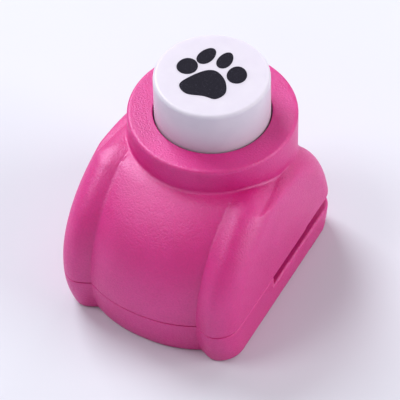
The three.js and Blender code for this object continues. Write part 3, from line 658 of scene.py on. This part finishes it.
def button_cap(material):
    """The white button with its skirt, flange and the sleeve that takes the punch's stem."""
    edge, small, fillet, mouth = BUTTON_EDGE, FLANGE_EDGE, ROOF_FILLET, SLEEVE_MOUTH
    top, foot = button_high[2], button_low[2]
    top_radius = BUTTON_RADIUS - BUTTON_DRAFT
    flange_top = foot + FLANGE_HEIGHT
    roof = top - BUTTON_ROOF
    roof_edge = SKIRT_RADIUS - BUTTON_DRAFT - fillet
    head_top = punch_high[2] - PUNCH_STEM_LENGTH + STEM_SEAT_GAP
    sleeve_top = head_top + SLEEVE_DEPTH
    profile = [
        (CAP_CENTRE, sleeve_top), (SLEEVE_RADIUS - small, sleeve_top), (SLEEVE_RADIUS, sleeve_top - small),
        (SLEEVE_RADIUS, head_top + mouth),
        *arc(SLEEVE_RADIUS + mouth, head_top + mouth, mouth, 180, 270, 3)[1:],
        (SLEEVE_OUTER - small, head_top), (SLEEVE_OUTER, head_top + small),
        (SLEEVE_OUTER, roof - fillet), *arc(SLEEVE_OUTER + fillet, roof - fillet, fillet, 180, 90, 4)[1:],
        (roof_edge, roof), *arc(roof_edge, roof - fillet, fillet, 90, 0, 4)[1:],
        (SKIRT_RADIUS, head_top), (SKIRT_RADIUS, foot + SKIRT_EDGE), (SKIRT_RADIUS + SKIRT_EDGE, foot),
        (FLANGE_RADIUS - small, foot), (FLANGE_RADIUS, foot + small),
        (FLANGE_RADIUS, flange_top - small), (FLANGE_RADIUS - small, flange_top),
        (BUTTON_RADIUS + small, flange_top), (BUTTON_RADIUS, flange_top + small),
        (BUTTON_RADIUS, COLLAR_TOP),
    ]
    rise = top - edge - COLLAR_TOP
    for share in np.linspace(0.2, 1, 5):
        profile.append((BUTTON_RADIUS - BUTTON_DRAFT * share, COLLAR_TOP + rise * share))
    profile += arc(top_radius - edge, top - edge, edge, 0, 90, 14)[1:]
    for radius in np.linspace(top_radius - edge, CAP_CENTRE, 12)[1:]:
        profile.append((radius, top))
    cap = turned_object("button_cap", profile, CAP_SEGMENTS, material=material)
    return place(cap, "plunger", "white_plastic", "push_button")


# Toe pads: centre, half sizes, lean in degrees and how pointed the far end is.
TOES = [
    {"centre": (-3.53, -0.06), "half": (1.37, 1.45), "lean": 14, "point": 0.05},
    {"centre": (-2.2, 2.7), "half": (1.04, 1.61), "lean": -8, "point": 0.1},
    {"centre": (0.31, 3.07), "half": (0.97, 1.54), "lean": 2, "point": 0.1},
    {"centre": (2.9, 1.43), "half": (1.3, 1.54), "lean": 20, "point": 0.05},
]
MAIN_PAD = [
    (0.3, 0.8), (2.05, -0.2), (3.1, -2.05), (2.5, -3.6), (0.85, -3.85),
    (-1.35, -4.45), (-2.8, -3.55), (-2.55, -2.05), (-1.15, 0.2),
]


def toe_outline(toe, grow=0.0, count=48):
    angles = np.arange(count) * 2 * math.pi / count
    half_x, half_y = toe["half"]
    x = (half_x + grow) * np.cos(angles) * (1 - toe["point"] * np.sin(angles))
    y = (half_y + grow) * np.sin(angles)
    turn = math.radians(toe["lean"])
    centre_x, centre_y = toe["centre"]
    return np.stack([
        centre_x + x * math.cos(turn) - y * math.sin(turn),
        centre_y + x * math.sin(turn) + y * math.cos(turn),
    ], axis=1)


def pad_outline(grow=0.0, steps=12):
    """A smooth closed curve through the main pad's points."""
    points = np.array(MAIN_PAD[::-1])
    middle = points.mean(axis=0)
    outward = points - middle
    points = points + outward / np.linalg.norm(outward, axis=1)[:, None] * grow
    before, after, last = np.roll(points, 1, 0), np.roll(points, -1, 0), np.roll(points, -2, 0)
    curve = []
    for i in range(len(points)):
        for t in np.arange(steps) / steps:
            curve.append(0.5 * (
                2 * points[i] + (after[i] - before[i]) * t
                + (2 * before[i] - 5 * points[i] + 4 * after[i] - last[i]) * t ** 2
                + (3 * points[i] - before[i] - 3 * after[i] + last[i]) * t ** 3
            ))
    return np.array(curve)


def paw_outlines(grow=0.0):
    return [toe_outline(toe, grow) for toe in TOES] + [pad_outline(grow)]


def anticlockwise(outline):
    x, y = outline[:, 0], outline[:, 1]
    area = np.sum(x * np.roll(y, -1) - np.roll(x, -1) * y)
    return outline if area > 0 else outline[::-1]


def joined_islands(name, objects):
    """Several separate bodies as one mesh object."""
    work = bmesh.new()
    for obj in objects:
        work.from_mesh(obj.data)
    mesh = objects[0].data.copy()
    work.to_mesh(mesh)
    work.free()
    for obj in objects:
        bpy.data.objects.remove(obj)
    whole = bpy.data.objects.new(name, mesh)
    bpy.context.collection.objects.link(whole)
    mesh.name = name
    return whole


def paw_print(material):
    """The printed mark: five thin ink films on the button, sunk a little into it."""
    film, sunk, edge = 0.03, 0.01, 0.008
    top = button_high[2]
    islands = [
        prism_object("film", anticlockwise(outline), top - sunk, top + film, edge, material)
        for outline in paw_outlines()
    ]
    return place(joined_islands("paw_print", islands), "plunger", "print_ink")


# ------------------------------------------------------------------ punch, spring and die set

PRONG_TAIL_CLEARANCE = 0.08
DIE_CLEARANCE = 0.05
HOLE_CLEARANCE = 0.05
SCREW_HOLE_CLEARANCE = 0.12
HEAD_HOLE_CLEARANCE = 0.22
PUNCH_HEAD_HEIGHT = 2.0
PUNCH_STEM_RADIUS = 2.0
STEM_END_CHAMFER = 0.4
HEAD_LOWER_ROUND = 0.3
HEAD_UPPER_ROUND = 0.15
PRONG_OVERLAP = 0.5
GUIDE_EDGE = 0.15
GUIDE_SCREW_SEAT = 1.0
SPRING_SEAT_GAP = 0.05
SPRING_BORE_CLEARANCE = 0.3
SPRING_BORE_FLARE = 0.2
STEEL_EDGE = 0.08


def paw_prisms(low, high, grow):
    return [prism_object("tool", anticlockwise(outline), low, high) for outline in paw_outlines(grow)]


def punch(material):
    """The zinc casting: a round head, its stem, and five prongs with sharp ends."""
    low, high = punch_low[2], punch_high[2]
    head, stem = PUNCH_HEAD_RADIUS, PUNCH_STEM_RADIUS
    under, over, chamfer = HEAD_LOWER_ROUND, HEAD_UPPER_ROUND, STEM_END_CHAMFER
    head_top = high - PUNCH_STEM_LENGTH
    head_bottom = head_top - PUNCH_HEAD_HEIGHT
    profile = [
        (head - chamfer, head_bottom), *arc(head - under, head_bottom + under, under, -90, 0, 5),
        *arc(head - over, head_top - over, over, 0, 90, 4),
        (stem + under, head_top), *arc(stem + under, head_top + under, under, 270, 180, 4),
        (stem, high - chamfer), (stem - chamfer, high),
    ]
    casting = turned_object("punch", profile, 96, material=material)
    join(casting, *paw_prisms(low, head_bottom + PRONG_OVERLAP, 0))
    return place(casting, "plunger", "zinc_casting", "punch_casting")


SPRING_WIRE = 0.9
SPRING_TURNS = 6
FLAT_TURN_PITCH = 1.05
WIRE_SIDES = 16
RINGS_PER_TURN = 48


def return_spring(material):
    """A coil of round wire whose first and last turns lie flat on their seats."""
    wire, turns = SPRING_WIRE, SPRING_TURNS
    middle = spring_high[0] - wire / 2
    low, high = spring_low[2] + wire / 2, spring_high[2] - wire / 2
    flat_rise = wire * FLAT_TURN_PITCH
    around = np.arange(WIRE_SIDES) * 2 * math.pi / WIRE_SIDES
    reach = middle + wire / 2 * np.cos(around)
    rings = []
    for turn in np.linspace(0, turns, turns * RINGS_PER_TURN + 1):
        if turn < 1:
            height = low + flat_rise * turn
        elif turn > turns - 1:
            height = high - flat_rise * (turns - turn)
        else:
            height = low + flat_rise + (high - low - 2 * flat_rise) * (turn - 1) / (turns - 2)
        angle = 2 * math.pi * turn
        rings.append(np.stack([
            reach * math.cos(angle), reach * math.sin(angle), height + wire / 2 * np.sin(around),
        ], axis=1))
    coil = rings_object("return_spring_coil", rings, material)
    place(coil, "casing", "spring_steel", "return_spring")
    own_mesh(coil)
    return coil


def pin_holes(nodes, radius, low=-FAR, high=FAR):
    """Upright cutting tools where pins or screws pass through a plate."""
    tools = []
    for node in nodes:
        x, y, _ = middle_of(node)
        tools.append(drum(x, y, low, high, radius))
    return tools


def guide(material):
    """The guide block: paw-shaped holes, a round seat for the spring, and its fastener holes."""
    low, high = guide_low[2], guide_high[2]
    plate = prism_object("guide", plate_outline(), low, high, GUIDE_EDGE, material)
    seat = spring_low[2] - SPRING_SEAT_GAP
    bore = spring_high[0] + SPRING_BORE_CLEARANCE
    mouth = bore + SPRING_BORE_FLARE
    cut(
        plate, *paw_prisms(low - 1, high + 1, PRONG_TAIL_CLEARANCE),
        turned_object("tool", [(bore, seat), (bore, high - GUIDE_EDGE),
                               (mouth, high + SPRING_SEAT_GAP), (mouth, high + 1)]),
        *pin_holes(RIVETS, RIVET_SHANK + HOLE_CLEARANCE), *pin_holes(DOWELS, DOWEL_SHANK + HOLE_CLEARANCE),
        *pin_holes(GUIDE_SCREWS, PLATE_SCREW_SHANK + SCREW_HOLE_CLEARANCE),
        *pin_holes(GUIDE_SCREWS, PLATE_SCREW_HEAD + HEAD_HOLE_CLEARANCE, low - 1, low + GUIDE_SCREW_SEAT),
    )
    return place(plate, "casing", "zinc_casting", "guide_block")


def die(material):
    """The ground steel die plate with its paw-shaped cutting holes."""
    low, high = die_low[2], die_high[2]
    plate = prism_object("die", plate_outline(), low, high, STEEL_EDGE, material)
    cut(
        plate, *paw_prisms(low - 1, high + 1, DIE_CLEARANCE),
        *pin_holes(RIVETS, RIVET_SHANK + HOLE_CLEARANCE), *pin_holes(DOWELS, DOWEL_SHANK + HOLE_CLEARANCE),
        *pin_holes(DIE_SCREWS, PLATE_SCREW_SHANK + SCREW_HOLE_CLEARANCE),
    )
    return place(plate, "casing", "die_steel", "die_plate")


def spacer(material):
    """The bar between the two plates, which stops the paper."""
    low, high = spacer_low[2], spacer_high[2]
    plate = prism_object("spacer", plate_outline(), low, high, STEEL_EDGE, material)
    keep_inside(plate, block((-FAR, -FAR, -1), (FAR, spacer_high[1], FAR)))
    cut(
        plate,
        *pin_holes(RIVETS, RIVET_SHANK + HOLE_CLEARANCE), *pin_holes(DOWELS, DOWEL_SHANK + HOLE_CLEARANCE),
    )
    return place(plate, "casing", "die_steel", "die_spacer")


# ------------------------------------------------------------------ fasteners

RIVET_SHANK = 1.0
DOWEL_SHANK = 0.9
PLATE_SCREW_SHANK = 0.75
PLATE_SCREW_HEAD = 1.35
BASE_SCREW_SHANK = 0.95
PLATE_SCREW_HEAD_HEIGHT = 0.85
BASE_SCREW_HEAD_HEIGHT = 1.2
PLATE_THREAD_PITCH = 0.5
BASE_THREAD_PITCH = 0.7
RIVET_DOME = 0.7
RIVET_DOME_MARGIN = 0.12
DOWEL_EDGE = 0.22
RECESS_HALF_WIDTH = 0.22
RECESS_DEPTH = 0.5
RECESS_REACH = 0.6
SCREW_HEAD_EDGE = 0.05
SCREW_PLAIN_LENGTH = 0.6
SCREW_COLUMNS = 36
THREAD_DEPTH = 0.22
THREAD_TAPER = 1.4
THREAD_ROWS = 8
THREAD_END_GAP = 0.02
SCREW_TIP = 0.12


def rivet(node, material):
    """A rivet with two low domed heads."""
    low, high = box_of(node)
    x, y, _ = middle_of(node)
    head = high[0] - x
    rise = RIVET_DOME
    angles = np.linspace(RIVET_DOME_MARGIN, math.pi / 2 - RIVET_DOME_MARGIN, 10)
    dome = [(head * math.cos(a), rise * math.sin(a)) for a in angles]
    profile = [(r, low[2] + rise - z) for r, z in reversed(dome)]
    profile += [(head, low[2] + rise), (RIVET_SHANK, low[2] + rise), (RIVET_SHANK, high[2] - rise)]
    profile += [(head, high[2] - rise)] + [(r, high[2] - rise + z) for r, z in dome]
    body = turned_object(node + "_fine", profile, PIN_SEGMENTS, (x, y), material)
    return place(body, "casing", "die_steel", node)


def dowel(node, material):
    """A hardened dowel pin with rounded ends."""
    low, high = box_of(node)
    x, y, _ = middle_of(node)
    edge = DOWEL_EDGE
    profile = [*arc(DOWEL_SHANK - edge, low[2] + edge, edge, -80, 0, 5),
               *arc(DOWEL_SHANK - edge, high[2] - edge, edge, 0, 80, 5)]
    body = turned_object(node + "_fine", profile, PIN_SEGMENTS, (x, y), material)
    return place(body, "casing", "die_steel", node)


def screw(node, material, shank, head_height, pitch):
    """A pan-head screw that points up: domed head, cross recess and a real helical thread."""
    low, high = box_of(node)
    x, y, _ = middle_of(node)
    head = high[0] - x
    bottom, under = low[2], low[2] + head_height
    columns = SCREW_COLUMNS
    turn = np.arange(columns) / columns
    rings = []

    def ring(radius, height):
        rings.append(np.stack([
            x + radius * np.cos(2 * math.pi * turn), y + radius * np.sin(2 * math.pi * turn),
            np.full(columns, height),
        ], axis=1))

    rise = head_height * 0.5
    for angle in np.linspace(math.pi / 2 - 0.25, 0, 8):
        ring(np.full(columns, head * math.cos(angle) ** 0.8), bottom + rise - rise * math.sin(angle))
    ring(np.full(columns, head), under - SCREW_HEAD_EDGE)
    ring(np.full(columns, head - SCREW_HEAD_EDGE), under)
    ring(np.full(columns, shank), under)
    start, tip = under + SCREW_PLAIN_LENGTH, high[2]
    depth = shank * THREAD_DEPTH
    taper = shank * THREAD_TAPER
    for height in np.arange(start, tip - THREAD_END_GAP, pitch / THREAD_ROWS):
        wave = np.abs(2 * ((height / pitch + turn) % 1) - 1)
        grown = min((height - start) / pitch, 1.0)
        point = np.clip((tip - height) / taper, SCREW_TIP, 1) ** 0.7
        ring((shank - depth * (1 - wave) * grown) * point, height)
    ring(np.full(columns, shank * SCREW_TIP), tip)
    body = rings_object(node + "_fine", rings, material)
    arm, half, deep = head * RECESS_REACH, RECESS_HALF_WIDTH, RECESS_DEPTH
    cut(
        body,
        block((x - arm, y - half, bottom - 1), (x + arm, y + half, bottom + deep)),
        block((x - half, y - arm, bottom - 1), (x + half, y + arm, bottom + deep)),
    )
    return place(body, "casing", "screw_steel", node)


# ------------------------------------------------------------------ materials


def new_material(name):
    """An empty node material with its shader and output, and the piece's own coordinates."""
    material = bpy.data.materials.new(name)
    material.use_nodes = True
    nodes = material.node_tree.nodes
    nodes.clear()
    output = nodes.new("ShaderNodeOutputMaterial")
    shader = nodes.new("ShaderNodeBsdfPrincipled")
    place_node = nodes.new("ShaderNodeTexCoord")
    material.node_tree.links.new(shader.outputs["BSDF"], output.inputs["Surface"])
    return material, shader, place_node.outputs["Object"]


def noise(material, where, feature_mm, detail=2.0, roughness=0.5, stretch=(1, 1, 1)):
    """Noise whose features are about feature_mm across."""
    nodes, links = material.node_tree.nodes, material.node_tree.links
    mapping = nodes.new("ShaderNodeMapping")
    mapping.inputs["Scale"].default_value = stretch
    texture = nodes.new("ShaderNodeTexNoise")
    texture.inputs["Scale"].default_value = 1 / (feature_mm * MM)
    texture.inputs["Detail"].default_value = detail
    texture.inputs["Roughness"].default_value = roughness
    links.new(where, mapping.inputs["Vector"])
    links.new(mapping.outputs["Vector"], texture.inputs["Vector"])
    return texture.outputs["Fac"]


def ramp(material, factor, stops):
    """Colours by factor: stops are (position, (r, g, b))."""
    node = material.node_tree.nodes.new("ShaderNodeValToRGB")
    elements = node.color_ramp.elements
    while len(elements) < len(stops):
        elements.new(0.5)
    for element, (position, color) in zip(elements, stops):
        element.position = position
        element.color = (*color, 1)
    material.node_tree.links.new(factor, node.inputs["Fac"])
    return node.outputs["Color"]


def spread(material, factor, low, high, start=0.3, end=0.7):
    """A value that runs from low to high as factor goes from start to end."""
    node = material.node_tree.nodes.new("ShaderNodeMapRange")
    for name, value in (("From Min", start), ("From Max", end), ("To Min", low), ("To Max", high)):
        node.inputs[name].default_value = value
    material.node_tree.links.new(factor, node.inputs["Value"])
    return node.outputs["Result"]


def bump(material, height, depth_mm, strength=1.0, under=None):
    """A bump whose height is depth_mm at full strength, on top of another where given."""
    node = material.node_tree.nodes.new("ShaderNodeBump")
    node.inputs["Distance"].default_value = depth_mm * MM
    node.inputs["Strength"].default_value = strength
    material.node_tree.links.new(height, node.inputs["Height"])
    if under is not None:
        material.node_tree.links.new(under, node.inputs["Normal"])
    return node.outputs["Normal"]


def mixed(material, factor, first, second, blend="MIX"):
    """Two colours mixed by a factor."""
    node = material.node_tree.nodes.new("ShaderNodeMix")
    node.data_type = "RGBA"
    node.blend_type = blend
    for value, socket in ((factor, node.inputs[0]), (first, node.inputs[6]), (second, node.inputs[7])):
        if isinstance(value, bpy.types.NodeSocket):
            material.node_tree.links.new(value, socket)
        else:
            socket.default_value = value
    return node.outputs[2]


def linear(red, green, blue):
    """A display colour, 0 to 255, as the linear colour that shaders take."""
    def channel(value):
        share = value / 255
        return share / 12.92 if share <= 0.04045 else ((share + 0.055) / 1.055) ** 2.4
    return tuple(channel(value) for value in (red, green, blue))


def pink_plastic():
    """Moulded pink plastic from a spark-eroded tool: matt, with a fine sparkling grain."""
    material, shader, where = new_material("pink_plastic")
    link = material.node_tree.links.new
    cloud = noise(material, where, 5.0, 3)
    tint = ramp(material, cloud, [(0.3, linear(212, 33, 133)), (0.7, linear(219, 41, 141))])
    grain = noise(material, where, 0.26, 3, 0.65)
    fleck = ramp(material, grain, [(0.35, (0.8, 0.8, 0.8)), (0.65, (1, 1, 1))])
    link(mixed(material, 0.5, tint, fleck, "MULTIPLY"), shader.inputs["Base Color"])
    link(spread(material, grain, 0.46, 0.32), shader.inputs["Roughness"])
    fine = bump(material, grain, 0.078)
    shader.inputs["Specular IOR Level"].default_value = 1.4
    shader.inputs["Specular Tint"].default_value = (0.85, 0.78, 1.0, 1)
    shader.inputs["Subsurface Weight"].default_value = 0.3
    shader.inputs["Subsurface Radius"].default_value = (1.0, 0.12, 0.4)
    shader.inputs["Subsurface Scale"].default_value = 0.9 * MM
    link(bump(material, noise(material, where, 0.9, 2), 0.02, 1, fine), shader.inputs["Normal"])
    return material


def white_plastic():
    """Slightly translucent white plastic, smooth, with faint handling marks."""
    material, shader, where = new_material("white_plastic")
    link = material.node_tree.links.new
    cloud = noise(material, where, 3.0, 3)
    link(ramp(material, cloud, [(0.3, linear(210, 207, 219)), (0.7, linear(215, 212, 223))]),
         shader.inputs["Base Color"])
    marks = noise(material, where, 0.6, 4, 0.6, (1, 6, 1))
    link(spread(material, marks, 0.3, 0.42), shader.inputs["Roughness"])
    link(bump(material, noise(material, where, 0.5, 2), 0.006), shader.inputs["Normal"])
    shader.inputs["Subsurface Weight"].default_value = 0.35
    shader.inputs["Subsurface Radius"].default_value = (1.0, 0.9, 1.0)
    shader.inputs["Subsurface Scale"].default_value = 1.5 * MM
    return material


def print_ink():
    """Blue-black pad-printed ink, matt, with light specks and fine scuffs."""
    material, shader, where = new_material("print_ink")
    link = material.node_tree.links.new
    scuff = noise(material, where, 0.5, 6, 0.75, (1, 2.5, 1))
    ink = ramp(material, scuff, [(0.62, linear(10, 6, 28)), (0.8, linear(70, 66, 86))])
    speck = noise(material, where, 0.09, 2)
    dust = ramp(material, speck, [(0.64, (0, 0, 0)), (0.74, (0.08, 0.075, 0.11))])
    link(mixed(material, 1.0, ink, dust, "ADD"), shader.inputs["Base Color"])
    link(spread(material, scuff, 0.55, 0.7), shader.inputs["Roughness"])
    shader.inputs["Specular IOR Level"].default_value = 0.3
    link(bump(material, noise(material, where, 0.12, 2), 0.004), shader.inputs["Normal"])
    return material


METAL_DARKER = 0.82
METAL_SMOOTHER = 0.07
METAL_ROUGHER = 0.09


def metal(name, color, roughness, feature_mm, depth_mm, stretch=(1, 1, 1)):
    """Bare metal with grain or machining marks."""
    material, shader, where = new_material(name)
    link = material.node_tree.links.new
    grain = noise(material, where, feature_mm, 4, 0.6, stretch)
    darker = tuple(value * METAL_DARKER for value in linear(*color))
    link(ramp(material, grain, [(0.35, darker), (0.65, linear(*color))]), shader.inputs["Base Color"])
    finish = spread(material, grain, roughness - METAL_SMOOTHER, roughness + METAL_ROUGHER)
    link(finish, shader.inputs["Roughness"])
    link(bump(material, grain, depth_mm), shader.inputs["Normal"])
    shader.inputs["Metallic"].default_value = 1.0
    return material


# ------------------------------------------------------------------ stage

# The aim and the distance are in millimetres, from the button's axis, and the angles in degrees.
CAMERA = {
    "aim": (2.66, -8.61, 17.42), "distance": 299.3,
    "azimuth": 29.75, "elevation": 48.34, "roll": -1.65, "lens": 207.0, "clip_start_m": 0.01,
}
FLOOR_HALF = 3000.0
FLOOR_LEVEL = -0.02

# Soft square lights: place and size in millimetres, watts and colour.
LIGHT_AIM = (0, 0, 15)
LIGHTS = (
    {"name": "key", "place": (-1160, 580, 1320), "size": 900, "watts": 20.4, "color": (0.965, 0.965, 1.0)},
    {"name": "right", "place": (1460, 400, 740), "size": 1040, "watts": 11.6, "color": (1.0, 0.95, 0.94)},
    {"name": "back", "place": (200, 1600, 880), "size": 1000, "watts": 4.0, "color": (0.96, 0.96, 1.0)},
    {"name": "front", "place": (-900, -720, 1600), "size": 660, "watts": 8.4, "color": (1.0, 0.975, 0.985)},
)
SKY_COLOR = (0.93, 0.885, 0.915, 1)
SKY_STRENGTH = 0.38


def stage_floor():
    """A plain pale floor."""
    material, shader, where = new_material("floor")
    link = material.node_tree.links.new
    paper = noise(material, where, 40.0, 2)
    link(ramp(material, paper, [(0.3, linear(213, 217, 225)), (0.7, linear(215, 219, 227))]),
         shader.inputs["Base Color"])
    shader.inputs["Roughness"].default_value = 0.9
    half, level = FLOOR_HALF, FLOOR_LEVEL
    corners = [(-half, -half, level), (half, -half, level), (half, half, level), (-half, half, level)]
    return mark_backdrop(mesh_object("floor", corners, [(0, 1, 2, 3)], material))


def area_light(light):
    """A soft square light from a row of LIGHTS."""
    data = bpy.data.lights.new(light["name"], "AREA")
    data.shape = "SQUARE"
    data.size = light["size"] * MM
    data.energy = light["watts"]
    data.color = light["color"]
    lamp = bpy.data.objects.new(light["name"], data)
    bpy.context.collection.objects.link(lamp)
    spot, target = Vector(light["place"]) * MM, Vector(LIGHT_AIM) * MM
    lamp.location = spot
    lamp.rotation_euler = (target - spot).to_track_quat("-Z", "Y").to_euler()


def studio_light():
    """Soft daylight from behind on the left, with a weak fill, under a pale sky."""
    for light in LIGHTS:
        area_light(light)
    world = bpy.data.worlds.new("sky")
    world.use_nodes = True
    background = world.node_tree.nodes["Background"]
    background.inputs["Color"].default_value = SKY_COLOR
    background.inputs["Strength"].default_value = SKY_STRENGTH
    bpy.context.scene.world = world
    settings = bpy.context.scene.view_settings
    settings.view_transform = "Standard"
    settings.look = "Medium High Contrast"


def camera():
    """The camera at the place set in CAMERA."""
    azimuth, elevation, roll = (math.radians(CAMERA[key]) for key in ("azimuth", "elevation", "roll"))
    flat = math.cos(elevation)
    back = Vector((math.sin(azimuth) * flat, -math.cos(azimuth) * flat, math.sin(elevation)))
    level = Vector((math.cos(azimuth), math.sin(azimuth), 0))
    over = back.cross(level)
    right = level * math.cos(roll) + over * math.sin(roll)
    up = over * math.cos(roll) - level * math.sin(roll)
    data = bpy.data.cameras.new("camera")
    data.lens = CAMERA["lens"]
    data.clip_start = CAMERA["clip_start_m"]
    view = bpy.data.objects.new("camera", data)
    bpy.context.collection.objects.link(view)
    spot = (Vector(CAMERA["aim"]) + Vector(AXIS) + back * CAMERA["distance"]) * MM
    turn = Matrix((right, up, back)).transposed().to_4x4()
    view.matrix_world = Matrix.Translation(spot) @ turn
    bpy.context.scene.camera = view


# ------------------------------------------------------------------ the scene

camera()
studio_light()
stage_floor()
pink = pink_plastic()
upper_casing(pink)
lower_casing(pink)
button_cap(white_plastic())
paw_print(print_ink())
zinc = metal("zinc_casting", (176, 178, 184), 0.42, 0.35, 0.02)
steel = metal("die_steel", (196, 198, 203), 0.28, 0.2, 0.004, (1, 12, 1))
spring_steel = metal("spring_steel", (150, 153, 160), 0.3, 0.25, 0.006)
screw_steel = metal("screw_steel", (188, 190, 196), 0.3, 0.3, 0.006)
punch(zinc)
return_spring(spring_steel)
guide(zinc)
spacer(steel)
die(steel)
for node in RIVETS:
    rivet(node, steel)
for node in DOWELS:
    dowel(node, steel)
for node in BASE_SCREWS:
    screw(node, screw_steel, BASE_SCREW_SHANK, BASE_SCREW_HEAD_HEIGHT, BASE_THREAD_PITCH)
for node in GUIDE_SCREWS + DIE_SCREWS:
    screw(node, screw_steel, PLATE_SCREW_SHANK, PLATE_SCREW_HEAD_HEIGHT, PLATE_THREAD_PITCH)
